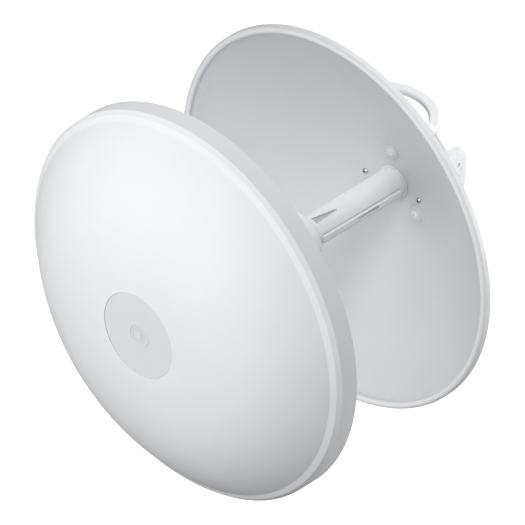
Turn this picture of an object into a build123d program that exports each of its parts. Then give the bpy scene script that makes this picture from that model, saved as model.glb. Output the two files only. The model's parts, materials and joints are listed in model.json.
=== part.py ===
"""Outdoor wireless bridge: dish reflector with a pull-off radome, a feed tube that holds the radio,
and a tilting mast clamp.

The origin sits on the mast axis at the middle of the clamp.  +Z runs up the mast, the dish looks
along -Y, and the mast stands behind the dish and to its left seen from the front.
"""

import math
import os

from build123d import *

os.makedirs("parts", exist_ok=True)

# ---------------------------------------------------------------- driving dimensions (mm)
# mast and clamp
mast_radius = 22.1
clamp_half_length = 25.0
hoop_radius = 59.0
hoop_level = 7.0
hoop_width = 12.0
hoop_height = 7.0
hoop_edge = 2.5
front_branch = 34.0
jaw_back = 36.0
clamp_thread = 4.0
fit = 0.08

# where the dish stands relative to the mast
dish_x = 82.0
vertex_y = -60.0

# reflector
dish_radius = 210.0
lip_radius = 203.0
rim_plane = 91.0
focal_length = 121.0
sheet = 1.5
feed_hole = 18.3
boss_circle = 40.0
rivet_x = 37.0
rivet_z = -3.0

# radome
radome_radius = 213.0
radome_wall = 2.2
skirt_length = 20.5
shoulder_radius = 209.5
shoulder_height = 25.0
crease_radius = 203.5
crease_height = 28.5
dome_rise = 62.0
dome_fullness = 0.7
badge_radius = 47.0
pulled_off = 185.0

# feed
tube_radius = 16.8
tube_wall = 2.4
tube_front = 134.0
tube_back = 8.0
collar_back = 135.0
head_radius = 30.5
collar_front = 151.2
nose_front = 160.4

# tilt pivot and brackets
pivot_back = 45.0
lock_drop = 22.0
ear_x = 27.0
ear_plate = 2.5
arm_inner = 30.5
arm_plate = 4.0
arm_half_height = 31.0
arm_front = 18.0
arm_corner = 11.0
arm_rear_corner = 19.0
web_front = 65.5
web_back = 68.5

# rear housing
housing_radius = 23.5
housing_wall = 2.0
housing_back = 36.0
cap_back = 38.5


# ---------------------------------------------------------------- planes and profiles
def facing(ahead):
    """Plane square to the boresight, a distance ahead of the dish vertex; extrudes forward."""
    return Plane(origin=(dish_x, vertex_y - ahead, 0), x_dir=(1, 0, 0), z_dir=(0, -1, 0))


def upright(x):
    """Plane square to X through the given x; its own axes are Y and Z."""
    return Plane.YZ.offset(x)


def level(z):
    """Plane square to Z at the given height, centred on the mast axis."""
    return Plane.XY.offset(z)


def back(distance):
    """Y of a point that lies the given distance behind the dish vertex."""
    return vertex_y + distance


axial = Plane(origin=(dish_x, vertex_y, 0), x_dir=(1, 0, 0), z_dir=(0, 0, -1))
boresight = Axis((dish_x, vertex_y, 0), (0, 1, 0))
pivot_y = back(pivot_back)


def bowl(r):
    """Height of the reflector's front face above the vertex at radius r."""
    return r * r / (4 * focal_length)


def bowl_back(r):
    """Point on the reflector's back face, one sheet thickness square to the front face."""
    slope = math.atan(r / (2 * focal_length))
    return (r + sheet * math.sin(slope), bowl(r) - sheet * math.cos(slope))


radome_rim = rim_plane + pulled_off


def dome(r):
    """Outer height of the radome above the dish vertex at radius r, as pulled off."""
    x = r / crease_radius
    return radome_rim + crease_height + dome_rise * (1 - x * x) * (1 + dome_fullness * x * x)


def dome_inside(r):
    """Point on the radome's inner face, one wall thickness square to the outer face."""
    slope = math.atan((dome(r - 0.5) - dome(r + 0.5)) / 1.0)
    return (r - radome_wall * math.sin(slope), dome(r) - radome_wall * math.cos(slope))


# ---------------------------------------------------------------- reflector
stations = [feed_hole, 60, 105, 150, lip_radius]
skirt_edge = rim_plane - 9.0
bead_radius = (lip_radius + dish_radius) / 2

with BuildPart() as dish_reflector:
    with BuildSketch(axial):
        with BuildLine():
            inner = Spline(*[(r, bowl(r)) for r in stations])
            bead = ThreePointArc(inner @ 1, (bead_radius, rim_plane), (dish_radius, rim_plane - 4))
            skirt = Polyline(
                bead @ 1,
                (dish_radius, skirt_edge),
                (dish_radius - sheet, skirt_edge),
                (dish_radius - sheet, rim_plane - 4),
            )
            under = ThreePointArc(
                skirt @ 1,
                (bead_radius, rim_plane - sheet),
                (lip_radius + 1.6, rim_plane - 5.2),
            )
            Line(under @ 1, bowl_back(lip_radius))
            outer = Spline(*[bowl_back(r) for r in reversed(stations)])
            Line(outer @ 1, inner @ 0)
        make_face()
    revolve(axis=boresight)
    # pressed dimples that carry the bracket screws
    with BuildSketch(facing(1.0)):
        with PolarLocations(boss_circle, 3, start_angle=90):
            Circle(9.5)
    extrude(amount=3.2)
    with BuildSketch(facing(4.2)):
        with PolarLocations(boss_circle, 3, start_angle=90):
            Circle(9.5)
    extrude(amount=2.2, taper=35)
    with BuildSketch(facing(-4.0)):
        with PolarLocations(boss_circle, 3, start_angle=90):
            Circle(7.4)
    extrude(amount=8.9, mode=Mode.SUBTRACT)
    with BuildSketch(facing(-4.0)):
        with PolarLocations(boss_circle, 3, start_angle=90):
            Circle(2.55)
        with Locations((-rivet_x, rivet_z), (rivet_x, rivet_z)):
            Circle(1.65)
    extrude(amount=14.0, mode=Mode.SUBTRACT)
dish_reflector.part.label = "dish_reflector"
export_step(dish_reflector.part, "parts/dish_reflector.step")

with BuildPart() as feed_gasket:
    with BuildSketch(axial):
        with BuildLine():
            Polyline(
                (tube_radius, -1.0),
                (feed_hole - 0.1, -1.0),
                (feed_hole - 0.1, 0.9),
                (tube_radius + 2.6, 0.95),
                (tube_radius + 2.6, 1.9),
                (tube_radius + 1.8, 2.7),
                (tube_radius, 2.7),
                close=True,
            )
        make_face()
    revolve(axis=boresight)
feed_gasket.part.label = "feed_gasket"
export_step(feed_gasket.part, "parts/feed_gasket.step")

# ---------------------------------------------------------------- dish bracket and its fasteners
with BuildPart() as dish_bracket:
    with BuildSketch(facing(-5.0)):
        Circle(48.0)
        Circle(20.0, mode=Mode.SUBTRACT)
    extrude(amount=3.0)
    with BuildSketch(facing(-2.0)):
        with PolarLocations(boss_circle, 3, start_angle=90):
            Circle(6.8)
    extrude(amount=6.9)
    for side in (-1, 1):
        with BuildSketch(upright(dish_x + side * ear_x - ear_plate / 2)):
            with Locations((back(24.5), -3.5)):
                RectangleRounded(41.0, 47.0, 3.0)
            with Locations((pivot_y, 0)):
                Circle(18.0)
            with Locations((pivot_y, -lock_drop)):
                Circle(7.0)
        extrude(amount=ear_plate)
        with BuildSketch(upright(dish_x + side * ear_x - ear_plate / 2)):
            with Locations((pivot_y, 0)):
                Circle(clamp_thread + fit)
        extrude(amount=ear_plate, mode=Mode.SUBTRACT)
    with BuildSketch(upright(dish_x + ear_x - ear_plate / 2)):
        with Locations((pivot_y, -lock_drop)):
            Circle(3.0)
    extrude(amount=ear_plate, mode=Mode.SUBTRACT)
    with BuildSketch(facing(-6.0)):
        with PolarLocations(boss_circle, 3, start_angle=90):
            Circle(2.5)
        with Locations((-rivet_x, rivet_z), (rivet_x, rivet_z)):
            Circle(1.6)
        with Locations((-16, -22), (16, -22), (-16, 22), (16, 22)):
            Circle(1.5)
    extrude(amount=14.0, mode=Mode.SUBTRACT)
dish_bracket.part.label = "dish_bracket"
export_step(dish_bracket.part, "parts/dish_bracket.step")

with BuildPart() as dish_screws:
    with BuildSketch(facing(-9.4)):
        with PolarLocations(boss_circle, 3, start_angle=90):
            Circle(2.5)
    extrude(amount=15.9)
    with BuildSketch(facing(6.4)):
        with PolarLocations(boss_circle, 3, start_angle=90):
            Circle(4.4)
    extrude(amount=1.6, taper=40)
    with BuildSketch(facing(7.0)):
        with PolarLocations(boss_circle, 3, start_angle=90):
            RegularPolygon(1.6, 6)
    extrude(amount=2.0, mode=Mode.SUBTRACT)
dish_screws.part.label = "dish_screws"
export_step(dish_screws.part, "parts/dish_screws.step")

with BuildPart() as dish_nuts:
    with BuildSketch(facing(-8.6)):
        with PolarLocations(boss_circle, 3, start_angle=90):
            RegularPolygon(4.4, 6)
            Circle(2.5, mode=Mode.SUBTRACT)
    extrude(amount=3.6)
dish_nuts.part.label = "dish_nuts"
export_step(dish_nuts.part, "parts/dish_nuts.step")

with BuildPart() as dish_rivets:
    with BuildSketch(facing(-6.0)):
        with Locations((-rivet_x, rivet_z), (rivet_x, rivet_z)):
            Circle(1.6)
    extrude(amount=9.6)
    with BuildSketch(facing(3.6)):
        with Locations((-rivet_x, rivet_z), (rivet_x, rivet_z)):
            Circle(3.1)
    extrude(amount=1.3, taper=30)
    # open end of each rivet's core
    with BuildSketch(facing(1.0)):
        with Locations((-rivet_x, rivet_z), (rivet_x, rivet_z)):
            Circle(1.1)
    extrude(amount=5.0, mode=Mode.SUBTRACT)
dish_rivets.part.label = "dish_rivets"
export_step(dish_rivets.part, "parts/dish_rivets.step")

# ---------------------------------------------------------------- feed tube
rail_low, rail_high = -2.6, 3.4
latch_front, latch_back = 72.0, 42.0

with BuildPart() as feed_shell_upper:
    with BuildSketch(facing(-tube_back)):
        Circle(tube_radius)
        Circle(tube_radius - tube_wall, mode=Mode.SUBTRACT)
        Rectangle(50, 25, align=(Align.CENTER, Align.MAX), mode=Mode.SUBTRACT)
    extrude(amount=tube_back + tube_front)
    # tapered recess on top near the head, wide at the head end
    recess_angle = math.radians(74)
    recess_floor = tube_radius - 1.8
    recess = Plane(
        origin=(dish_x + recess_floor * math.cos(recess_angle), vertex_y,
                recess_floor * math.sin(recess_angle)),
        x_dir=(0, -1, 0),
        z_dir=(math.cos(recess_angle), 0, math.sin(recess_angle)),
    )
    with BuildSketch(recess):
        with BuildLine():
            Polyline((90, 1.2), (121, -4.0), (121, 4.2), (90, 2.4), close=True)
        make_face()
    extrude(amount=4, mode=Mode.SUBTRACT)
    # relief behind the latch
    with BuildSketch(upright(dish_x + tube_radius - 1.2)):
        with Locations((vertex_y - (latch_front + latch_back) / 2, rail_high / 2)):
            Rectangle(latch_front - latch_back, rail_high)
    extrude(amount=3, mode=Mode.SUBTRACT)
    # shadow groove above each rail
    with BuildSketch(facing(9.0)):
        for side in (-1, 1):
            with Locations((side * tube_radius, rail_high + 0.6)):
                Rectangle(2.8, 1.1)
    extrude(amount=112.0, mode=Mode.SUBTRACT)
feed_shell_upper.part.label = "feed_shell_upper"
export_step(feed_shell_upper.part, "parts/feed_shell_upper.step")

with BuildPart() as feed_shell_lower:
    with BuildSketch(facing(-tube_back)):
        Circle(tube_radius)
        Circle(tube_radius - tube_wall, mode=Mode.SUBTRACT)
        Rectangle(50, 25, align=(Align.CENTER, Align.MIN), mode=Mode.SUBTRACT)
    extrude(amount=tube_back + tube_front)
    # ledges that carry the board
    with BuildSketch(facing(-tube_back)):
        with Locations((-13.0, -1.6), (13.0, -1.6)):
            Rectangle(3.2, 3.0, align=(Align.CENTER, Align.MAX))
    extrude(amount=tube_back + 112.0)
    # raised rails that lap the joint on both sides
    with BuildSketch(facing(9.0)):
        for side in (-1, 1):
            with Locations((side * (tube_radius + 0.8), (rail_low + rail_high) / 2)):
                Rectangle(3.2, rail_high - rail_low)
        Circle(tube_radius - 1.0, mode=Mode.SUBTRACT)
        with BuildSketch(mode=Mode.SUBTRACT):
            Circle(tube_radius + 0.05)
            Rectangle(50, 25, align=(Align.CENTER, Align.MAX), mode=Mode.SUBTRACT)
    extrude(amount=112.0)
    # shadow groove under each rail
    with BuildSketch(facing(9.0)):
        for side in (-1, 1):
            with Locations((side * (tube_radius - 0.4), rail_low - 0.6)):
                Rectangle(2.8, 1.1)
    extrude(amount=112.0, mode=Mode.SUBTRACT)
    # window in the right-hand rail for the latch
    with BuildSketch(upright(dish_x + tube_radius - 1.2)):
        with Locations((vertex_y - (latch_front + latch_back) / 2, 0.4)):
            Rectangle(latch_front - latch_back, rail_high - rail_low - 1.2)
    extrude(amount=4, mode=Mode.SUBTRACT)
feed_shell_lower.part.label = "feed_shell_lower"
export_step(feed_shell_lower.part, "parts/feed_shell_lower.step")

with BuildPart() as seam_latch:
    with BuildSketch(upright(dish_x + tube_radius - 1.2)):
        with Locations((vertex_y - (latch_front + latch_back) / 2, 0.4)):
            RectangleRounded(latch_front - latch_back - 1.6, rail_high - rail_low - 2.0, 0.9)
    extrude(amount=1.6)
    with BuildSketch(upright(dish_x + tube_radius + 0.4)):
        with Locations((vertex_y - latch_front + 5.0, 0.4)):
            RectangleRounded(6.0, 3.0, 0.8)
        with Locations((vertex_y - latch_back - 4.0, 0.4)):
            Circle(1.2)
    extrude(amount=0.7)
    with BuildSketch(upright(dish_x + tube_radius - 1.2)):
        with Locations((vertex_y - 55.0, 1.5), (vertex_y - 55.0, -0.7)):
            Rectangle(20.0, 0.8)
    extrude(amount=3.0, mode=Mode.SUBTRACT)
seam_latch.part.label = "seam_latch"
export_step(seam_latch.part, "parts/seam_latch.step")

# ---------------------------------------------------------------- feed head
with BuildPart() as head_collar:
    with BuildSketch(axial):
        with BuildLine():
            Polyline(
                (tube_radius, 124.0),
                (tube_radius + 1.8, 124.0),
                (tube_radius + 2.2, collar_back - 4),
                (tube_radius + 3.4, collar_back),
                (head_radius - 0.8, collar_back),
                (head_radius, collar_back + 0.8),
                (head_radius, collar_front),
                (head_radius - 2.2, collar_front),
                (head_radius - 2.2, 149.0),
                (tube_radius, 142.5),
                close=True,
            )
        make_face()
    revolve(axis=boresight)
head_collar.part.label = "head_collar"
export_step(head_collar.part, "parts/head_collar.step")

with BuildPart() as dielectric_cone:
    with BuildSketch(axial):
        with BuildLine():
            Polyline(
                (0, 118.0),
                (6.0, 118.0),
                (14.2, 128.0),
                (14.2, 142.5),
                (tube_radius, 142.5),
                (head_radius - 2.3, 149.0),
                (head_radius - 2.3, 149.8),
                (0, 149.8),
                close=True,
            )
        make_face()
    revolve(axis=boresight)
dielectric_cone.part.label = "dielectric_cone"
export_step(dielectric_cone.part, "parts/dielectric_cone.step")

with BuildPart() as subreflector:
    with BuildSketch(axial):
        with BuildLine():
            Polyline((0, 149.8), (28.0, 149.8), (28.0, 150.9), (10.0, 153.4), (0, 154.6), close=True)
        make_face()
    revolve(axis=boresight)
subreflector.part.label = "subreflector"
export_step(subreflector.part, "parts/subreflector.step")

with BuildPart() as head_seal:
    with BuildSketch(facing(collar_front)):
        Circle(head_radius - 0.3)
        Circle(head_radius - 1.8, mode=Mode.SUBTRACT)
    extrude(amount=1.2)
head_seal.part.label = "head_seal"
export_step(head_seal.part, "parts/head_seal.step")

with BuildPart() as nose_cap:
    with BuildSketch(axial):
        with BuildLine():
            side_wall = Line((head_radius, collar_front + 1.2), (head_radius, 155.5))
            shoulder = ThreePointArc(side_wall @ 1, (head_radius - 1.5, 158.2), (head_radius - 5, 159.6))
            crown = Spline(shoulder @ 1, (12.0, nose_front - 0.15), (0, nose_front))
            Polyline(
                crown @ 1,
                (0, nose_front - 2.0),
                (head_radius - 6, 157.4),
                (head_radius - 2.2, 155.4),
                (head_radius - 2.2, collar_front + 1.2),
                side_wall @ 0,
            )
        make_face()
    revolve(axis=boresight)
nose_cap.part.label = "nose_cap"
export_step(nose_cap.part, "parts/nose_cap.step")

# ---------------------------------------------------------------- radio inside the tube
with BuildPart() as main_board:
    with BuildSketch(level(-1.6)):
        with Locations((dish_x, vertex_y - 40.0)):
            Rectangle(26.0, 140.0)
    extrude(amount=1.6)
main_board.part.label = "main_board"
export_step(main_board.part, "parts/main_board.step")

with BuildPart() as shield_can:
    with BuildSketch(level(0)):
        with Locations((dish_x, vertex_y - 50.0)):
            RectangleRounded(20.0, 62.0, 1.0)
    extrude(amount=5.0)
    with BuildSketch(level(0)):
        with Locations((dish_x, vertex_y - 50.0)):
            Rectangle(19.2, 61.2)
    extrude(amount=4.6, mode=Mode.SUBTRACT)
shield_can.part.label = "shield_can"
export_step(shield_can.part, "parts/shield_can.step")

with BuildPart() as heat_spreader:
    with BuildSketch(level(-8.0)):
        with Locations((dish_x, vertex_y - 50.0)):
            Rectangle(18.0, 58.0)
    extrude(amount=6.4)
    with BuildSketch(level(-8.0)):
        with GridLocations(4.0, 1.0, 4, 1):
            with Locations((dish_x, vertex_y - 50.0)):
                Rectangle(2.0, 58.0)
    extrude(amount=4.0, mode=Mode.SUBTRACT)
heat_spreader.part.label = "heat_spreader"
export_step(heat_spreader.part, "parts/heat_spreader.step")

with BuildPart() as radiator:
    with BuildSketch(level(0)):
        with Locations((dish_x, vertex_y - 100.0)):
            Rectangle(8.0, 18.0)
    extrude(amount=1.2)
    with BuildSketch(level(1.2)):
        with Locations((dish_x, vertex_y - 104.0)):
            Circle(2.0)
    extrude(amount=5.0)
radiator.part.label = "radiator"
export_step(radiator.part, "parts/radiator.step")

# ---------------------------------------------------------------- rear housing with the port
port_back = 22.0
port_low = -26.0
cover_hinge_back = 35.4
cover_hinge_z = -27.6
hinge_y = back(cover_hinge_back)

with BuildPart() as rear_housing:
    with BuildSketch(facing(-8.0)):
        Circle(31.0)
        Circle(tube_radius + 0.05, mode=Mode.SUBTRACT)
        with Locations((-34.2, 0), (34.2, 0)):
            Rectangle(18.0, 70.0, mode=Mode.SUBTRACT)
    extrude(amount=3.0)
    with BuildSketch(facing(-housing_back)):
        Circle(housing_radius)
    extrude(amount=housing_back - 6.0)
    with BuildSketch(level(port_low)):
        with Locations((dish_x, back(port_back))):
            RectangleRounded(26.0, 22.0, 2.0)
    extrude(amount=14.0)
    with BuildSketch(facing(-housing_back)):
        Circle(housing_radius - housing_wall)
    extrude(amount=housing_back - 8.0, mode=Mode.SUBTRACT)
    with BuildSketch(facing(-8.0)):
        Circle(tube_radius + 0.05)
    extrude(amount=4.0, mode=Mode.SUBTRACT)
    with BuildSketch(facing(-9.0)):
        with Locations((-16, -22), (16, -22), (-16, 22), (16, 22)):
            Circle(1.5)
    extrude(amount=5.0, mode=Mode.SUBTRACT)
    # opening for the cable plug
    with BuildSketch(level(port_low - 1)):
        with Locations((dish_x, back(port_back))):
            RectangleRounded(17.0, 15.0, 1.0)
    extrude(amount=12.0, mode=Mode.SUBTRACT)
    # two lugs for the port cover's hinge pin
    for start in (-13.0, 9.0):
        with BuildSketch(upright(dish_x + start)):
            with BuildLine():
                Polyline(
                    (hinge_y - 2.2, cover_hinge_z),
                    (hinge_y + 2.2, cover_hinge_z),
                    (back(35.8), -22.0),
                    (back(32.0), -20.5),
                    (back(32.0), -24.0),
                    close=True,
                )
            make_face()
            with Locations((hinge_y, cover_hinge_z)):
                Circle(2.2)
                Circle(1.0, mode=Mode.SUBTRACT)
        extrude(amount=4.0)
rear_housing.part.label = "rear_housing"
export_step(rear_housing.part, "parts/rear_housing.step")

with BuildPart() as housing_screws:
    with BuildSketch(facing(-8.0)):
        with Locations((-16, -22), (16, -22), (-16, 22), (16, 22)):
            Circle(1.5)
    extrude(amount=6.0)
    with BuildSketch(facing(-10.0)):
        with Locations((-16, -22), (16, -22), (-16, 22), (16, 22)):
            Circle(2.7)
    extrude(amount=2.0)
    with BuildSketch(facing(-10.0)):
        with Locations((-16, -22), (16, -22), (-16, 22), (16, 22)):
            RegularPolygon(1.3, 6)
    extrude(amount=1.0, mode=Mode.SUBTRACT)
housing_screws.part.label = "housing_screws"
export_step(housing_screws.part, "parts/housing_screws.step")

with BuildPart() as ethernet_jack:
    with BuildSketch(level(-21.0)):
        with Locations((dish_x, back(port_back))):
            Rectangle(16.0, 14.0)
    extrude(amount=19.4)
    with BuildSketch(level(-21.0)):
        with Locations((dish_x, back(port_back))):
            Rectangle(11.8, 8.2)
        with Locations((dish_x, back(port_back) + 5.0)):
            Rectangle(4.2, 2.4)
    extrude(amount=14.0, mode=Mode.SUBTRACT)
ethernet_jack.part.label = "ethernet_jack"
export_step(ethernet_jack.part, "parts/ethernet_jack.step")

with BuildPart() as jack_contacts:
    with BuildSketch(level(-18.0)):
        with GridLocations(1.02, 1.0, 8, 1):
            with Locations((dish_x, back(port_back) - 3.4)):
                Rectangle(0.45, 0.9)
    extrude(amount=11.0)
jack_contacts.part.label = "jack_contacts"
export_step(jack_contacts.part, "parts/jack_contacts.step")

# rear cap with status lights and the reset button
led_x = (-9.0, -3.0, 3.0, 9.0)
led_z = 9.0
button_z = -8.0

with BuildPart() as rear_cap:
    with BuildSketch(facing(-cap_back)):
        Circle(housing_radius)
        with Locations(*[(x, led_z) for x in led_x]):
            Circle(1.4, mode=Mode.SUBTRACT)
        with Locations((0, button_z)):
            Circle(2.9, mode=Mode.SUBTRACT)
        with PolarLocations(18.6, 3, start_angle=30):
            Circle(1.3, mode=Mode.SUBTRACT)
    extrude(amount=cap_back - housing_back)
    fillet(rear_cap.edges().filter_by(GeomType.CIRCLE).group_by(Axis.Y)[-1].sort_by(SortBy.RADIUS)[-1], 1.0)
    # spigot inside the housing bore
    with BuildSketch(facing(-housing_back)):
        Circle(housing_radius - housing_wall)
        Circle(housing_radius - housing_wall - 1.6, mode=Mode.SUBTRACT)
    extrude(amount=3.0)
    with BuildSketch(facing(-housing_back)):
        with PolarLocations(18.6, 3, start_angle=30):
            Circle(2.9)
            Circle(1.3, mode=Mode.SUBTRACT)
    extrude(amount=4.0)
rear_cap.part.label = "rear_cap"
export_step(rear_cap.part, "parts/rear_cap.step")

with BuildPart() as cap_screws:
    with BuildSketch(facing(-cap_back)):
        with PolarLocations(18.6, 3, start_angle=30):
            Circle(1.3)
    extrude(amount=6.0)
    with BuildSketch(facing(-cap_back - 1.6)):
        with PolarLocations(18.6, 3, start_angle=30):
            Circle(2.5)
    extrude(amount=1.6)
    with BuildSketch(facing(-cap_back - 1.6)):
        with PolarLocations(18.6, 3, start_angle=30):
            RegularPolygon(1.2, 6)
    extrude(amount=0.9, mode=Mode.SUBTRACT)
cap_screws.part.label = "cap_screws"
export_step(cap_screws.part, "parts/cap_screws.step")

with BuildPart() as light_pipes:
    with BuildSketch(facing(-cap_back - 0.3)):
        with Locations(*[(x, led_z) for x in led_x]):
            Circle(1.4)
    extrude(amount=8.0)
light_pipes.part.label = "light_pipes"
export_step(light_pipes.part, "parts/light_pipes.step")

with BuildPart() as reset_button:
    with BuildSketch(facing(-cap_back - 0.4)):
        with Locations((0, button_z)):
            Circle(2.5)
    extrude(amount=4.4)
    with BuildSketch(facing(-35.6)):
        with Locations((0, button_z)):
            Circle(3.7)
    extrude(amount=1.1)
reset_button.part.label = "reset_button"
export_step(reset_button.part, "parts/reset_button.step")

# hinged cover under the port

with BuildPart() as port_hinge_pin:
    with BuildSketch(upright(dish_x - 13.0)):
        with Locations((hinge_y, cover_hinge_z)):
            Circle(1.0)
    extrude(amount=26.0)
port_hinge_pin.part.label = "port_hinge_pin"
export_step(port_hinge_pin.part, "parts/port_hinge_pin.step")

with BuildPart() as port_cover:
    with BuildSketch(level(-28.4)):
        with Locations((dish_x, back(port_back - 0.4))):
            RectangleRounded(25.0, 21.0, 2.0)
    extrude(amount=2.0)
    with BuildSketch(level(-28.4)):
        with Locations((dish_x, back(33.0))):
            Rectangle(17.0, 4.8)
    extrude(amount=2.0)
    with BuildSketch(upright(dish_x - 8.5)):
        with Locations((hinge_y, cover_hinge_z)):
            Circle(2.1)
    extrude(amount=17.0)
    with BuildSketch(upright(dish_x - 8.6)):
        with Locations((hinge_y, cover_hinge_z)):
            Circle(1.0 + fit)
    extrude(amount=17.2, mode=Mode.SUBTRACT)
port_cover.part.label = "port_cover"
export_step(port_cover.part, "parts/port_cover.step")

# ---------------------------------------------------------------- radome
dome_stations = [crease_radius, 195, 175, 145, 110, 75, badge_radius]
floor_height = dome(badge_radius) - 1.5
floor_wall = 2.2

with BuildPart() as radome_shell:
    with BuildSketch(axial):
        with BuildLine():
            Polyline(
                (radome_radius, radome_rim),
                (radome_radius, radome_rim + skirt_length),
                (shoulder_radius, radome_rim + shoulder_height),
                (crease_radius, radome_rim + crease_height),
            )
            skin = Spline(*[(r, dome(r)) for r in dome_stations])
            Polyline(
                skin @ 1,
                (badge_radius, floor_height),
                (0, floor_height),
                (0, floor_height - floor_wall),
                (badge_radius - 4, floor_height - floor_wall),
                dome_inside(badge_radius + 4),
            )
            lining = Spline(*[dome_inside(r) for r in (badge_radius + 4, 75, 110, 150, 185, 201.5)])
            Polyline(
                lining @ 1,
                (shoulder_radius - 1.6, radome_rim + shoulder_height - 2.4),
                (radome_radius - radome_wall, radome_rim + skirt_length - 1),
                (radome_radius - radome_wall, radome_rim + 17),
                (207.0, radome_rim + 17),
                (207.0, radome_rim + 15),
                (radome_radius - radome_wall, radome_rim + 15),
                (radome_radius - radome_wall, radome_rim),
                (radome_radius, radome_rim),
            )
        make_face()
    revolve(axis=boresight)
radome_shell.part.label = "radome_shell"
export_step(radome_shell.part, "parts/radome_shell.step")

with BuildPart() as radome_badge:
    with BuildSketch(facing(floor_height)):
        Circle(badge_radius - 0.4)
    extrude(amount=1.0)
    with BuildSketch(facing(floor_height + 1.0)):
        Circle(14.0)
        Circle(11.0, mode=Mode.SUBTRACT)
        Circle(4.0)
    extrude(amount=0.4)
radome_badge.part.label = "radome_badge"
export_step(radome_badge.part, "parts/radome_badge.step")

with BuildPart() as radome_seal:
    with BuildSketch(facing(radome_rim + 11.5)):
        Circle(radome_radius - radome_wall - 0.2)
        Circle(204.5, mode=Mode.SUBTRACT)
    extrude(amount=3.5)
radome_seal.part.label = "radome_seal"
export_step(radome_seal.part, "parts/radome_seal.step")

with BuildPart() as radome_clips:
    with BuildSketch(facing(radome_rim + 0.2)):
        Circle(radome_radius - radome_wall)
        Circle(dish_radius + 0.4, mode=Mode.SUBTRACT)
        with PolarLocations(dish_radius, 6, start_angle=30):
            Rectangle(12.0, 24.0, mode=Mode.INTERSECT)
    extrude(amount=1.3)
radome_clips.part.label = "radome_clips"
export_step(radome_clips.part, "parts/radome_clips.step")

# ---------------------------------------------------------------- pole bracket
foot_bolt_z = 17.0
foot_half_height = 23.0
rear_foot_x = 58.5
saddle_rivets_at = ((2.0, -17.0), (2.0, 17.0), (-12.0, -17.0), (-12.0, 17.0))
arm_face_left = dish_x - arm_inner - arm_plate
arm_face_right = dish_x + arm_inner + arm_plate
rearward = Plane(origin=(0, back(web_back), 0), x_dir=(1, 0, 0), z_dir=(0, 1, 0))
ground_screw_at = (back(34.0), 20.0)

with BuildPart() as pole_bracket:
    for side in (-1, 1):
        with BuildSketch(upright(dish_x + side * (arm_inner + arm_plate / 2) - arm_plate / 2)):
            with Locations(((back(arm_front) + back(web_back)) / 2, 0)):
                Rectangle(web_back - arm_front, 2 * arm_half_height)
            fillet(vertices().group_by(Axis.X)[0], arm_corner)
            fillet(vertices().group_by(Axis.X)[-1], arm_rear_corner if side > 0 else arm_corner)
            with Locations((pivot_y, 0)):
                Circle(clamp_thread, mode=Mode.SUBTRACT)
            with Locations((back(58), 8.5)):
                Circle(2.1, mode=Mode.SUBTRACT)
        extrude(amount=arm_plate)
    with BuildSketch(rearward):
        with BuildLine():
            Polyline(
                (arm_face_left + 1, -foot_half_height),
                (dish_x - 4, -foot_half_height),
                (dish_x + 12, -5),
                (arm_face_right - 1, -5),
                (arm_face_right - 1, 12),
                (dish_x + 12, 12),
                (dish_x - 4, foot_half_height),
                (arm_face_left + 1, foot_half_height),
                close=True,
            )
        make_face()
    extrude(amount=web_front - web_back)
    # left-hand arm: saddle rivets and the front foot of the yoke
    with BuildSketch(upright(arm_face_left)):
        with Locations(*saddle_rivets_at):
            Circle(3.0)
        with Locations((-front_branch, -foot_bolt_z), (-front_branch, foot_bolt_z)):
            Circle(3.0)
    extrude(amount=arm_plate, mode=Mode.SUBTRACT)
    # web: rear foot of the yoke
    with BuildSketch(rearward):
        with Locations((rear_foot_x, -foot_bolt_z), (rear_foot_x, foot_bolt_z)):
            Circle(3.0)
    extrude(amount=web_front - web_back, mode=Mode.SUBTRACT)
    # right-hand arm: curved slot for the lock bolt, angle marks, ground screw
    with BuildSketch(upright(dish_x + arm_inner)):
        with BuildLine(mode=Mode.PRIVATE):
            travel = CenterArc((pivot_y, 0), lock_drop, 247, 46)
        SlotArc(travel, 6.8)
        with Locations(ground_screw_at):
            Circle(2.0)
    extrude(amount=arm_plate, mode=Mode.SUBTRACT)
    with BuildSketch(upright(arm_face_right - 0.4)):
        with Locations((pivot_y, 0)):
            with PolarLocations(28.0, 5, start_angle=250, angular_range=40, endpoint=True):
                Rectangle(2.4, 0.6)
    extrude(amount=1.0, mode=Mode.SUBTRACT)
pole_bracket.part.label = "pole_bracket"
export_step(pole_bracket.part, "parts/pole_bracket.step")

with BuildPart() as ground_screw:
    with BuildSketch(upright(dish_x + arm_inner)):
        with Locations(ground_screw_at):
            Circle(2.0)
    extrude(amount=arm_plate)
    with BuildSketch(upright(arm_face_right)):
        with Locations(ground_screw_at):
            Circle(4.2)
    extrude(amount=2.6)
    with BuildSketch(upright(arm_face_right + 1.4)):
        with Locations(ground_screw_at):
            Rectangle(6.4, 1.0)
            Rectangle(1.0, 6.4)
    extrude(amount=2.0, mode=Mode.SUBTRACT)
ground_screw.part.label = "ground_screw"
export_step(ground_screw.part, "parts/ground_screw.step")

# ---------------------------------------------------------------- tilt pivot and lock
with BuildPart() as pivot_bolt:
    with BuildSketch(upright(arm_face_left - 6.8)):
        with Locations((pivot_y, 0)):
            Circle(clamp_thread)
    extrude(amount=arm_face_right - arm_face_left + 6.8)
    with BuildSketch(upright(arm_face_right)):
        with Locations((pivot_y, 0)):
            Circle(8.4)
    extrude(amount=1.6)
    with BuildSketch(upright(arm_face_right + 1.6)):
        with Locations((pivot_y, 0)):
            RegularPolygon(7.4, 6)
    extrude(amount=4.6)
pivot_bolt.part.label = "pivot_bolt"
export_step(pivot_bolt.part, "parts/pivot_bolt.step")

with BuildPart() as pivot_nut:
    with BuildSketch(upright(arm_face_left - 6.0)):
        with Locations((pivot_y, 0)):
            RegularPolygon(7.4, 6)
            Circle(clamp_thread, mode=Mode.SUBTRACT)
    extrude(amount=6.0)
pivot_nut.part.label = "pivot_nut"
export_step(pivot_nut.part, "parts/pivot_nut.step")

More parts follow.
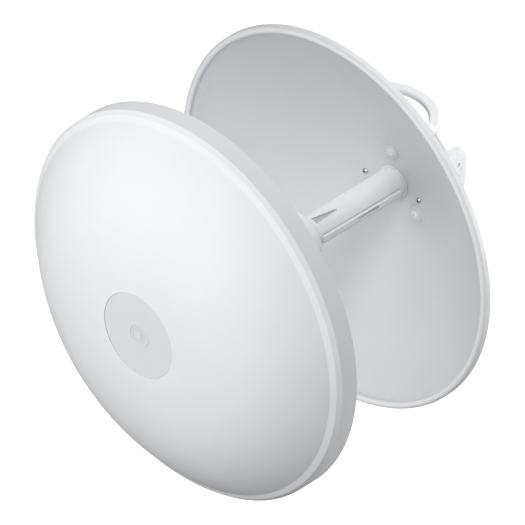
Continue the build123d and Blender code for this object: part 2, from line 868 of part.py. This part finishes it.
washer_inner = ear_x + ear_plate / 2 + 0.35
with BuildPart() as pivot_washers:
    for start in (-arm_inner, washer_inner):
        with BuildSketch(upright(dish_x + start)):
            with Locations((pivot_y, 0)):
                Circle(9.0)
                Circle(clamp_thread, mode=Mode.SUBTRACT)
        extrude(amount=arm_inner - washer_inner)
pivot_washers.part.label = "pivot_washers"
export_step(pivot_washers.part, "parts/pivot_washers.step")

lock_inner = dish_x + ear_x - ear_plate / 2
with BuildPart() as lock_bolt:
    with BuildSketch(upright(lock_inner - 5.6)):
        with Locations((pivot_y, -lock_drop)):
            Circle(3.0)
    extrude(amount=arm_face_right + 1.9 - lock_inner + 5.6)
    with BuildSketch(upright(arm_face_right + 1.9)):
        with Locations((pivot_y, -lock_drop)):
            RegularPolygon(5.8, 6)
    extrude(amount=4.0)
lock_bolt.part.label = "lock_bolt"
export_step(lock_bolt.part, "parts/lock_bolt.step")

with BuildPart() as lock_washer:
    with BuildSketch(upright(arm_face_right + 0.4)):
        with Locations((pivot_y, -lock_drop)):
            Circle(6.6)
            Circle(3.0, mode=Mode.SUBTRACT)
    extrude(amount=1.5)
lock_washer.part.label = "lock_washer"
export_step(lock_washer.part, "parts/lock_washer.step")

with BuildPart() as lock_nut:
    with BuildSketch(upright(lock_inner - 5.0)):
        with Locations((pivot_y, -lock_drop)):
            RegularPolygon(5.8, 6)
            Circle(3.0, mode=Mode.SUBTRACT)
    extrude(amount=5.0)
lock_nut.part.label = "lock_nut"
export_step(lock_nut.part, "parts/lock_nut.step")

# ---------------------------------------------------------------- mast clamp
with BuildPart() as mast_saddle:
    with BuildSketch(level(-clamp_half_length)):
        with BuildLine():
            Polyline(
                (arm_face_left, -18.0),
                (arm_face_left, back(web_back)),
                (34.0, 22.0),
                (12.0, 22.0),
                (12.0, -22.0),
                (34.0, -22.0),
                close=True,
            )
        make_face()
        Circle(mast_radius, mode=Mode.SUBTRACT)
    extrude(amount=2 * clamp_half_length)
    # pocket for the pivot nut, holes for the rivets
    with BuildSketch(upright(arm_face_left - 8.0)):
        with Locations((pivot_y, 0)):
            Circle(9.4)
    extrude(amount=8.0, mode=Mode.SUBTRACT)
    with BuildSketch(upright(arm_face_left - 10.0)):
        with Locations(*saddle_rivets_at):
            Circle(3.0)
    extrude(amount=10.0, mode=Mode.SUBTRACT)
mast_saddle.part.label = "mast_saddle"
export_step(mast_saddle.part, "parts/mast_saddle.step")

with BuildPart() as saddle_rivets:
    with BuildSketch(upright(arm_face_left - 10.0)):
        with Locations(*saddle_rivets_at):
            Circle(3.0)
    extrude(amount=10.0 + arm_plate)
saddle_rivets.part.label = "saddle_rivets"
export_step(saddle_rivets.part, "parts/saddle_rivets.step")

foot_plate = 5.0
boss_inner, boss_outer = -49.0, -68.0
pin_z = 13.0
pin_radius = 2.5
hoop_end = math.radians(14)
corner_radius = 20.0


def bar(x, y, heading):
    """Plane for the hoop's cross-section at a point of its path, wide side level."""
    across = (-heading[1], heading[0], 0)
    return Plane(origin=(x, y, hoop_level), x_dir=across, z_dir=(*heading, 0))


with BuildPart() as clamp_yoke:
    # round the back of the mast, then straight down to the bracket's web
    end_x, end_y = hoop_radius * math.cos(hoop_end), hoop_radius * math.sin(hoop_end)
    heading = (-math.sin(hoop_end), math.cos(hoop_end))
    with BuildSketch(bar(end_x, end_y, heading)):
        RectangleRounded(hoop_width, hoop_height, hoop_edge)
    revolve(axis=Axis.Z, revolution_arc=180 - math.degrees(hoop_end))
    with BuildSketch(bar(end_x, end_y, (-heading[0], -heading[1]))):
        RectangleRounded(hoop_width, hoop_height, hoop_edge)
    extrude(amount=(end_y - 4) / heading[1])
    # past the boss, round the corner, and along the front to the bracket arm
    with BuildSketch(bar(-hoop_radius, 0, (0, -1))):
        RectangleRounded(hoop_width, hoop_height, hoop_edge)
    extrude(amount=front_branch - corner_radius)
    corner = (corner_radius - hoop_radius, corner_radius - front_branch, 0)
    with BuildSketch(bar(-hoop_radius, corner[1], (0, -1))):
        RectangleRounded(hoop_width, hoop_height, hoop_edge)
    revolve(axis=Axis(corner, (0, 0, 1)), revolution_arc=90)
    with BuildSketch(bar(corner[0], -front_branch, (1, 0))):
        RectangleRounded(hoop_width, hoop_height, hoop_edge)
    extrude(amount=arm_face_left - 2 - corner[0])
    with BuildSketch(level(-22)):
        with Locations(((boss_inner + boss_outer) / 2, 0)):
            RectangleRounded(boss_inner - boss_outer, 22.0, 3.0)
    extrude(amount=44)
    with BuildSketch(rearward):
        with Locations((rear_foot_x, 0)):
            RectangleRounded(14.0, 2 * foot_half_height, 3.0)
    extrude(amount=foot_plate)
    # trim the rib ends flush with the foot
    with BuildSketch(rearward):
        with Locations((rear_foot_x, 0)):
            Rectangle(40.0, 70.0)
    extrude(amount=-12.0, mode=Mode.SUBTRACT)
    with BuildSketch(upright(arm_face_left - foot_plate)):
        with Locations((-front_branch, 0)):
            RectangleRounded(14.4, 2 * foot_half_height, 3.0)
    extrude(amount=foot_plate)
    with BuildSketch(upright(boss_outer)):
        Circle(clamp_thread + fit)
        with Locations((0, -pin_z), (0, pin_z)):
            Circle(pin_radius + fit)
    extrude(amount=boss_inner - boss_outer + 2, mode=Mode.SUBTRACT)
    with BuildSketch(rearward):
        with Locations((rear_foot_x, -foot_bolt_z), (rear_foot_x, foot_bolt_z)):
            Circle(3.0)
    extrude(amount=foot_plate, mode=Mode.SUBTRACT)
    with BuildSketch(upright(arm_face_left - foot_plate)):
        with Locations((-front_branch, -foot_bolt_z), (-front_branch, foot_bolt_z)):
            Circle(3.0)
    extrude(amount=foot_plate, mode=Mode.SUBTRACT)
clamp_yoke.part.label = "clamp_yoke"
export_step(clamp_yoke.part, "parts/clamp_yoke.step")

with BuildPart() as yoke_bolts:
    with BuildSketch(rearward.offset(web_front - web_back)):
        with Locations((rear_foot_x, -foot_bolt_z), (rear_foot_x, foot_bolt_z)):
            Circle(3.0)
    extrude(amount=web_back - web_front + foot_plate)
    with BuildSketch(rearward.offset(foot_plate)):
        with Locations((rear_foot_x, -foot_bolt_z), (rear_foot_x, foot_bolt_z)):
            RegularPolygon(5.4, 6)
    extrude(amount=3.6)
    with BuildSketch(upright(arm_face_left - foot_plate)):
        with Locations((-front_branch, -foot_bolt_z), (-front_branch, foot_bolt_z)):
            Circle(3.0)
    extrude(amount=foot_plate + arm_plate)
    with BuildSketch(upright(arm_face_left - foot_plate - 3.6)):
        with Locations((-front_branch, -foot_bolt_z), (-front_branch, foot_bolt_z)):
            RegularPolygon(5.4, 6)
    extrude(amount=3.6)
yoke_bolts.part.label = "yoke_bolts"
export_step(yoke_bolts.part, "parts/yoke_bolts.step")

with BuildPart() as clamp_jaw:
    with BuildSketch(level(-20)):
        with BuildLine():
            Polyline(
                (-12.0, -21.5),
                (-30.0, -21.5),
                (-jaw_back, -13.0),
                (-jaw_back, 13.0),
                (-30.0, 21.5),
                (-12.0, 21.5),
                close=True,
            )
        make_face()
        Circle(mast_radius, mode=Mode.SUBTRACT)
    extrude(amount=40)
    with BuildSketch(upright(-jaw_back)):
        Circle(clamp_thread + fit)
    extrude(amount=5.0, mode=Mode.SUBTRACT)
    with BuildSketch(upright(-jaw_back)):
        with Locations((0, -pin_z), (0, pin_z)):
            Circle(pin_radius)
    extrude(amount=7.0, mode=Mode.SUBTRACT)
clamp_jaw.part.label = "clamp_jaw"
export_step(clamp_jaw.part, "parts/clamp_jaw.step")

with BuildPart() as guide_pins:
    with BuildSketch(upright(-74.0)):
        with Locations((0, -pin_z), (0, pin_z)):
            Circle(pin_radius)
    extrude(amount=74.0 - jaw_back + 7.0)
guide_pins.part.label = "guide_pins"
export_step(guide_pins.part, "parts/guide_pins.step")

with BuildPart() as clamp_screw:
    with BuildSketch(upright(-73.0)):
        Circle(clamp_thread)
    extrude(amount=73.0 - jaw_back + 4.6)
    with BuildSketch(upright(-74.5)):
        Circle(8.2)
    extrude(amount=1.5)
    with BuildSketch(upright(-80.0)):
        RegularPolygon(7.4, 6)
    extrude(amount=5.5)
clamp_screw.part.label = "clamp_screw"
export_step(clamp_screw.part, "parts/clamp_screw.step")
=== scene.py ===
import json
import math

import bpy
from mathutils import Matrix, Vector


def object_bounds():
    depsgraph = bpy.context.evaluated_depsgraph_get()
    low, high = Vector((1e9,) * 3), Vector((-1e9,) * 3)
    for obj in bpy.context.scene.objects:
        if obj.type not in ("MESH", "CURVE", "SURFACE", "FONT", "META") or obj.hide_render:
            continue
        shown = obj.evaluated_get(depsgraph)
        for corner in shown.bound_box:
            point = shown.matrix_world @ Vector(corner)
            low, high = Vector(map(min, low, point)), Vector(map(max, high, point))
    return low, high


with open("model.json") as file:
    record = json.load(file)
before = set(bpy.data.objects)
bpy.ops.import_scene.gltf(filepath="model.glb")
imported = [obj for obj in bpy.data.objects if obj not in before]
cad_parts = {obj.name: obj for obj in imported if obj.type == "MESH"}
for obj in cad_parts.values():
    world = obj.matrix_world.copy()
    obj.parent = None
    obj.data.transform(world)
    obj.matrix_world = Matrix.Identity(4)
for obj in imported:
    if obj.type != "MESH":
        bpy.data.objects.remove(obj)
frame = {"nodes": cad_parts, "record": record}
cad_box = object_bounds()
nodes = frame["nodes"]
record = frame["record"]
dish_vertex = Vector((0.082, -0.060, 0.0))
lip_start, lip_end = 0.2025, 0.2090
tube_skin, tube_end = 0.0163, -0.183


# ------------------------------------------------------------------ material building blocks
def new_material(name):
    """A node material, with its nodes, its links and its main shader."""
    material = bpy.data.materials.new(name)
    material.use_nodes = True
    tree = material.node_tree
    return material, tree.nodes, tree.links, tree.nodes["Principled BSDF"]


def ramp(ns, ls, source, low, high, start=0.35, end=0.65):
    """Maps a signal to a range of numbers, or of colours where low is one."""
    if isinstance(low, tuple):
        r = ns.new("ShaderNodeValToRGB")
        first, last = r.color_ramp.elements
        first.position, last.position = start, end
        first.color, last.color = (*low, 1), (*high, 1)
        ls.new(source, r.inputs["Fac"])
        return r.outputs["Color"]
    r = ns.new("ShaderNodeMapRange")
    r.inputs["From Min"].default_value = start
    r.inputs["From Max"].default_value = end
    r.inputs["To Min"].default_value = low
    r.inputs["To Max"].default_value = high
    ls.new(source, r.inputs["Value"])
    return r.outputs["Result"]


def noise(ns, ls, scale, detail=3.0, rough=0.5, stretch=None):
    """Noise in the object's own space, drawn out along an axis by stretch."""
    place = ns.new("ShaderNodeTexCoord").outputs["Object"]
    if stretch:
        mapping = ns.new("ShaderNodeMapping")
        mapping.inputs["Scale"].default_value = stretch
        ls.new(place, mapping.inputs["Vector"])
        place = mapping.outputs["Vector"]
    n = ns.new("ShaderNodeTexNoise")
    n.inputs["Scale"].default_value = scale
    n.inputs["Detail"].default_value = detail
    n.inputs["Roughness"].default_value = rough
    ls.new(place, n.inputs["Vector"])
    return n.outputs["Fac"]


def mixed(ns, ls, fac, a, b):
    """Two colours mixed by a factor; each may be a number, a colour or a socket."""
    m = ns.new("ShaderNodeMix")
    m.data_type = "RGBA"
    for value, socket in ((fac, m.inputs[0]), (a, m.inputs[6]), (b, m.inputs[7])):
        if isinstance(value, (int, float)):
            socket.default_value = value
        elif isinstance(value, tuple):
            socket.default_value = (*value, 1)
        else:
            ls.new(value, socket)
    return m.outputs[2]


def times(ns, ls, a, b):
    m = ns.new("ShaderNodeMath")
    m.operation = "MULTIPLY"
    for value, socket in ((a, m.inputs[0]), (b, m.inputs[1])):
        if isinstance(value, (int, float)):
            socket.default_value = value
        else:
            ls.new(value, socket)
    return m.outputs[0]


def edges(ns, ls, start=0.52, end=0.60):
    """1 on sharp convex edges, 0 elsewhere."""
    geometry = ns.new("ShaderNodeNewGeometry")
    return ramp(ns, ls, geometry.outputs["Pointiness"], 0.0, 1.0, start, end)


def creases(ns, ls, start=0.485, end=0.44):
    """1 in sharp concave corners, 0 elsewhere."""
    geometry = ns.new("ShaderNodeNewGeometry")
    return ramp(ns, ls, geometry.outputs["Pointiness"], 0.0, 1.0, start, end)


def bump(ns, ls, height, strength, distance):
    b = ns.new("ShaderNodeBump")
    b.inputs["Strength"].default_value = strength
    b.inputs["Distance"].default_value = distance
    ls.new(height, b.inputs["Height"])
    return b.outputs["Normal"]


def shade(colour, by):
    return tuple(min(1.0, c * by) for c in colour)


def reach(ns, ls, centre):
    """Distance in metres from an axis along Y through the point centre."""
    offset = ns.new("ShaderNodeVectorMath")
    offset.operation = "SUBTRACT"
    offset.inputs[1].default_value = centre
    ls.new(ns.new("ShaderNodeTexCoord").outputs["Object"], offset.inputs[0])
    flat = ns.new("ShaderNodeVectorMath")
    flat.operation = "MULTIPLY"
    flat.inputs[1].default_value = (1, 0, 1)
    ls.new(offset.outputs["Vector"], flat.inputs[0])
    length = ns.new("ShaderNodeVectorMath")
    length.operation = "LENGTH"
    ls.new(flat.outputs["Vector"], length.inputs[0])
    return length.outputs["Value"]


def tube_recess_shade(ns, ls):
    """1 in the feed tube's recess and grooves, 0 on its skin and ahead of the tube: the mask for the shade
    painted there.
    """
    sunk = ramp(ns, ls, reach(ns, ls, dish_vertex), 1.0, 0.0, tube_skin - 0.0004, tube_skin)
    place = ns.new("ShaderNodeSeparateXYZ")
    ls.new(ns.new("ShaderNodeTexCoord").outputs["Object"], place.inputs[0])
    return times(ns, ls, sunk, ramp(ns, ls, place.outputs["Y"], 0.0, 1.0, tube_end - 0.0002, tube_end))


# ------------------------------------------------------------------ the part's materials
def plastic(name, colour, rough=0.45, grain=900.0, grain_depth=0.00004, gloss=0.4, recess_shade=False):
    """Moulded plastic: faint mottling, fine grain, corners darkened with dust and painted shade, and edges
    paler from wear and a painted highlight. It can also paint shade into the feed tube's recess.
    """
    material, ns, ls, shader = new_material(name)
    base = ramp(ns, ls, noise(ns, ls, 9.0, 4.0), shade(colour, 0.975), colour)
    # painted shade: the feed tube's recess and grooves are coloured darker
    if recess_shade:
        base = mixed(ns, ls, tube_recess_shade(ns, ls), base, shade(colour, 0.62))
    # convex edges painted paler: partly wear, partly a painted highlight
    base = mixed(ns, ls, times(ns, ls, edges(ns, ls), 0.4), base, shade(colour, 1.08))
    # concave corners darkened through noise: partly dust, partly painted shade
    dust = times(ns, ls, creases(ns, ls), ramp(ns, ls, noise(ns, ls, 140.0, 5.0), 0.15, 0.45))
    base = mixed(ns, ls, dust, base, shade(colour, 0.72))
    ls.new(base, shader.inputs["Base Color"])
    ls.new(ramp(ns, ls, noise(ns, ls, 26.0, 5.0), rough - 0.05, rough + 0.08), shader.inputs["Roughness"])
    ls.new(bump(ns, ls, noise(ns, ls, grain, 2.0, 0.6), 0.35, grain_depth), shader.inputs["Normal"])
    shader.inputs["Specular IOR Level"].default_value = gloss
    return material


def powder_coat(name, colour, rough=0.4, peel=420.0, depth=0.00006, lip_highlight=None):
    """Powder-coated metal: orange peel, slight mottling, corners darkened with dust and painted shade, and
    chipped edges.

    Given a colour for the rolled rim of the dish, the rim is painted paler as a painted highlight; the skirt
    beyond it is a touch paler than the bowl, painted light as well.
    """
    material, ns, ls, shader = new_material(name)
    base = ramp(ns, ls, noise(ns, ls, 7.0, 4.0), shade(colour, 0.975), colour)
    # painted highlight on the dish's rolled lip, and painted light on the skirt beyond it
    if lip_highlight:
        spread = reach(ns, ls, dish_vertex)
        on_lip = ramp(ns, ls, spread, 0.0, 1.0, lip_start, lip_start + 0.001)
        on_skirt = ramp(ns, ls, spread, 0.0, 1.0, lip_end, lip_end + 0.0004)
        base = mixed(ns, ls, on_skirt, mixed(ns, ls, on_lip, base, lip_highlight), shade(colour, 1.05))
    speck = ramp(ns, ls, noise(ns, ls, 160.0, 5.0, 0.7), 0.0, 0.6, 0.5, 0.62)
    base = mixed(ns, ls, times(ns, ls, edges(ns, ls, 0.56, 0.66), speck), base, shade(colour, 0.72))
    # concave corners painted darker: partly dust, partly painted shade
    base = mixed(ns, ls, times(ns, ls, creases(ns, ls), 0.35), base, shade(colour, 0.7))
    ls.new(base, shader.inputs["Base Color"])
    ls.new(ramp(ns, ls, noise(ns, ls, 40.0, 4.0), rough - 0.06, rough + 0.08), shader.inputs["Roughness"])
    ls.new(bump(ns, ls, noise(ns, ls, peel, 1.5, 0.4), 0.3, depth), shader.inputs["Normal"])
    shader.inputs["Coat Weight"].default_value = 0.1
    shader.inputs["Coat Roughness"].default_value = 0.3
    return material


def bare_metal(name, colour, rough=0.32, stretch=(1, 1, 1), scale=300.0, stain=0.85):
    """Plated or machined metal with drawn grain and slight tarnish."""
    material, ns, ls, shader = new_material(name)
    shader.inputs["Metallic"].default_value = 1.0
    tarnish = noise(ns, ls, 60.0, 6.0, 0.65)
    base = ramp(ns, ls, tarnish, shade(colour, stain), colour, 0.3, 0.7)
    # concave corners painted darker: painted shade
    base = mixed(ns, ls, times(ns, ls, creases(ns, ls), 0.5), base, shade(colour, 0.45))
    ls.new(base, shader.inputs["Base Color"])
    drawn = noise(ns, ls, scale, 3.0, 0.6, stretch)
    ls.new(ramp(ns, ls, drawn, rough - 0.08, rough + 0.14), shader.inputs["Roughness"])
    ls.new(bump(ns, ls, drawn, 0.25, 0.00003), shader.inputs["Normal"])
    return material


def rubber(name, colour):
    """Soft moulded rubber with a dusty bloom."""
    material, ns, ls, shader = new_material(name)
    dust = noise(ns, ls, 90.0, 6.0, 0.7)
    ls.new(ramp(ns, ls, dust, colour, shade(colour, 1.12), 0.4, 0.75), shader.inputs["Base Color"])
    ls.new(ramp(ns, ls, dust, 0.62, 0.82), shader.inputs["Roughness"])
    ls.new(bump(ns, ls, noise(ns, ls, 700.0), 0.4, 0.00005), shader.inputs["Normal"])
    return material


def laminate(name):
    """Circuit board: solder mask with copper runs showing under it and gold pads."""
    material, ns, ls, shader = new_material(name)
    place = ns.new("ShaderNodeTexCoord").outputs["Object"]
    mapping = ns.new("ShaderNodeMapping")
    mapping.inputs["Scale"].default_value = (420, 160, 1)
    ls.new(place, mapping.inputs["Vector"])
    cells = ns.new("ShaderNodeTexVoronoi")
    cells.distance = "CHEBYCHEV"
    cells.inputs["Scale"].default_value = 1.0
    ls.new(mapping.outputs["Vector"], cells.inputs["Vector"])
    runs = ramp(ns, ls, cells.outputs["Distance"], (0.016, 0.12, 0.05), (0.03, 0.19, 0.085), 0.2, 0.45)
    pads = ramp(ns, ls, noise(ns, ls, 1500.0), 0.0, 0.5, 0.66, 0.7)
    ls.new(mixed(ns, ls, pads, runs, (0.72, 0.53, 0.2)), shader.inputs["Base Color"])
    ls.new(ramp(ns, ls, noise(ns, ls, 200.0), 0.22, 0.4), shader.inputs["Roughness"])
    ls.new(bump(ns, ls, cells.outputs["Distance"], 0.3, 0.00005), shader.inputs["Normal"])
    return material


def clear(name, colour):
    """Clear moulded plastic, a little smoky inside."""
    material, ns, ls, shader = new_material(name)
    shader.inputs["Transmission Weight"].default_value = 0.75
    shader.inputs["IOR"].default_value = 1.49
    ls.new(ramp(ns, ls, noise(ns, ls, 200.0), shade(colour, 0.9), colour), shader.inputs["Base Color"])
    ls.new(ramp(ns, ls, noise(ns, ls, 400.0), 0.08, 0.2), shader.inputs["Roughness"])
    return material


materials = {
    # dish_paint has a painted highlight on the dish's rolled lip
    "dish_paint": powder_coat("dish_paint", (0.74, 0.755, 0.77), 0.5, lip_highlight=(0.90, 0.905, 0.92)),
    "radome_plastic": plastic("radome_plastic", (0.80, 0.805, 0.825), 0.6, 1400.0, 0.00002, 0.15),
    "badge_plastic": plastic("badge_plastic", (0.70, 0.71, 0.73), 0.55, 1400.0, 0.00003),
    # feed_plastic has shade painted into the feed tube's recess
    "feed_plastic": plastic("feed_plastic", (0.84, 0.84, 0.86), 0.36, 1100.0, 0.00002, recess_shade=True),
    "latch_plastic": plastic("latch_plastic", (0.74, 0.75, 0.77), 0.4),
    "housing_plastic": plastic("housing_plastic", (0.76, 0.77, 0.79), 0.5, 800.0, 0.00006),
    "bracket_paint": powder_coat("bracket_paint", (0.80, 0.81, 0.82), 0.42),
    "cast_paint": powder_coat("cast_paint", (0.80, 0.81, 0.82), 0.45, 260.0, 0.00012),
    "screw_paint": powder_coat("screw_paint", (0.93, 0.935, 0.94), 0.32),
    "zinc_steel": bare_metal("zinc_steel", (0.72, 0.73, 0.75), 0.3, (1, 1, 6)),
    "seal_rubber": rubber("seal_rubber", (0.70, 0.71, 0.72)),
    "dielectric_plastic": plastic("dielectric_plastic", (0.80, 0.78, 0.72), 0.35),
    "bare_aluminium": bare_metal("bare_aluminium", (0.80, 0.81, 0.83), 0.28, (1, 8, 1)),
    "board_laminate": laminate("board_laminate"),
    "tinned_steel": bare_metal("tinned_steel", (0.74, 0.74, 0.73), 0.25, (1, 5, 1)),
    "jack_plastic": plastic("jack_plastic", (0.03, 0.03, 0.033), 0.3),
    "contact_metal": bare_metal("contact_metal", (0.90, 0.68, 0.28), 0.2),
    "clear_plastic": clear("clear_plastic", (0.85, 0.92, 0.95)),
    "button_plastic": plastic("button_plastic", (0.14, 0.145, 0.15), 0.5),
}
slot_of = {p["node"]: p["material_slot"] for p in record["subparts"]}
slot_of["dish_screws"] = "screw_paint"  # whiter and glossier than the dish they hold
for name, obj in nodes.items():
    if not obj.material_slots:
        obj.data.materials.append(None)
    for slot in obj.material_slots:
        slot.material = materials[slot_of[name]]

# ------------------------------------------------------------------ stage
floor_drop = 1.6
floor_half = 12.0
backdrop_radius = 40.0
studio_white = 0.96
world_fill = 0.22


def stage_piece(name, mesh, material):
    """A stage mesh that the camera sees, and that casts no light or shade on the part."""
    o = bpy.data.objects.new(name, mesh)
    mesh.materials.append(material)
    bpy.context.scene.collection.objects.link(o)
    o.visible_diffuse = o.visible_glossy = o.visible_transmission = o.visible_shadow = False
    return o


floor_mesh = bpy.data.meshes.new("floor")
corners = [(x * floor_half, y * floor_half, -floor_drop) for x, y in ((-1, -1), (1, -1), (1, 1), (-1, 1))]
floor_mesh.from_pydata(corners, [], [(0, 1, 2, 3)])
paper, ns, ls, shader = new_material("paper")
ls.new(ramp(ns, ls, noise(ns, ls, 2.0), (0.93, 0.93, 0.93), (0.95, 0.95, 0.95)), shader.inputs["Base Color"])
shader.inputs["Roughness"].default_value = 0.9
shader.inputs["Specular IOR Level"].default_value = 0.0
floor = stage_piece("floor", floor_mesh, paper)

rings, spokes = 16, 32
backdrop_mesh = bpy.data.meshes.new("backdrop")
verts = [(backdrop_radius * math.sin(math.pi * i / rings) * math.cos(2 * math.pi * j / spokes),
          backdrop_radius * math.sin(math.pi * i / rings) * math.sin(2 * math.pi * j / spokes),
          backdrop_radius * math.cos(math.pi * i / rings))
         for i in range(rings + 1) for j in range(spokes)]
faces = [(i * spokes + j, i * spokes + (j + 1) % spokes, (i + 1) * spokes + (j + 1) % spokes,
          (i + 1) * spokes + j) for i in range(rings) for j in range(spokes)]
backdrop_mesh.from_pydata(verts, [], faces)
glow, ns, ls, shader = new_material("backdrop")
shader.inputs["Base Color"].default_value = (0, 0, 0, 1)
shader.inputs["Specular IOR Level"].default_value = 0.0
shader.inputs["Emission Color"].default_value = (studio_white, studio_white, studio_white, 1)
shader.inputs["Emission Strength"].default_value = 1.0
glow.cycles.emission_sampling = "NONE"
stage_piece("backdrop", backdrop_mesh, glow)

# ------------------------------------------------------------------ light
world = bpy.data.worlds.new("studio")
world.use_nodes = True
world.node_tree.nodes["Background"].inputs["Color"].default_value = (1.0, 1.0, 1.0, 1)
world.node_tree.nodes["Background"].inputs["Strength"].default_value = world_fill
bpy.context.scene.world = world


def group(name, members):
    """A collection that isn't in the scene, for saying what a light reaches."""
    c = bpy.data.collections.new(name)
    for o in members:
        c.objects.link(o)
    return c


bodies = record["behaviour"]["bodies"]
radome_side = group("radome_side", [nodes[n] for n in bodies["radome"]])
dish_side = group("dish_side", [o for n, o in nodes.items() if n not in bodies["radome"]])
feed_side = group("feed_side", [nodes[n] for n in ("feed_shell_upper", "feed_shell_lower", "seam_latch",
                                                   "head_collar", "nose_cap", "feed_gasket")])
bracket_side = group("bracket_side", [nodes[n] for b in ("mast_side", "jaw", "clamp_screw_body")
                                      for n in bodies[b]])
floor_only = group("floor_only", [floor])
centre = (Vector(cad_box[0]) + Vector(cad_box[1])) / 2
light_distance = 3.0


def towards(azimuth, elevation):
    """Direction from the part to a light; azimuth 0 is straight in front of the dish."""
    a, e = math.radians(azimuth), math.radians(elevation)
    return Vector((math.sin(a) * math.cos(e), -math.cos(a) * math.cos(e), math.sin(e)))


def softbox(name, azimuth, elevation, brightness, size=1.6, reaches=None):
    """Round soft light; brightness 1 makes a facing white surface read 1."""
    light = bpy.data.lights.new(name, "AREA")
    light.shape = "DISK"
    light.size = size
    light.energy = brightness * (math.pi * light_distance) ** 2
    o = bpy.data.objects.new(name, light)
    direction = towards(azimuth, elevation)
    o.location = centre + direction * light_distance
    o.rotation_euler = direction.to_track_quat("Z", "Y").to_euler()
    bpy.context.scene.collection.objects.link(o)
    if reaches:
        o.light_linking.receiver_collection = reaches
        o.light_linking.blocker_collection = reaches
    return o


softbox("key", -4, 28, 0.86, 1.6, radome_side)
softbox("dish_top", 45, 55, 0.50, 1.8, dish_side)
softbox("dish_front", -15, -10, 0.32, 2.2, dish_side)
softbox("feed_top", -60, 50, 0.24, 1.6, feed_side)
softbox("bracket_right", 80, 25, 0.36, 1.6, bracket_side)
softbox("back_high", 200, 40, 0.40)
softbox("side", 130, 0, 0.50)

floor_wash = bpy.data.lights.new("floor_wash", "SUN")
floor_wash.energy = math.pi
floor_wash_lamp = bpy.data.objects.new("floor_wash", floor_wash)
bpy.context.scene.collection.objects.link(floor_wash_lamp)
floor_wash_lamp.light_linking.receiver_collection = floor_only
floor_wash_lamp.light_linking.blocker_collection = floor_only

# ------------------------------------------------------------------ camera
# it looks from the front right and above through a long lens
view_azimuth, view_elevation = 44.18, 35.65
frame_width = 0.5266
aside, above = 0.1321, 0.0808
focal, sensor = 800.0, 36.0

to_camera = towards(view_azimuth, view_elevation)
right = Vector((math.cos(math.radians(view_azimuth)), math.sin(math.radians(view_azimuth)), 0))
up = to_camera.cross(right)
aim = dish_vertex - right * aside - up * above
cam_data = bpy.data.cameras.new("camera")
cam_data.lens = focal
cam_data.sensor_width = sensor
cam_data.clip_end = 100.0
cam = bpy.data.objects.new("camera", cam_data)
cam.location = aim + to_camera * (frame_width * focal / sensor)
cam.rotation_euler = to_camera.to_track_quat("Z", "Y").to_euler()
bpy.context.scene.collection.objects.link(cam)
bpy.context.scene.camera = cam
bpy.context.scene.view_settings.view_transform = "Standard"
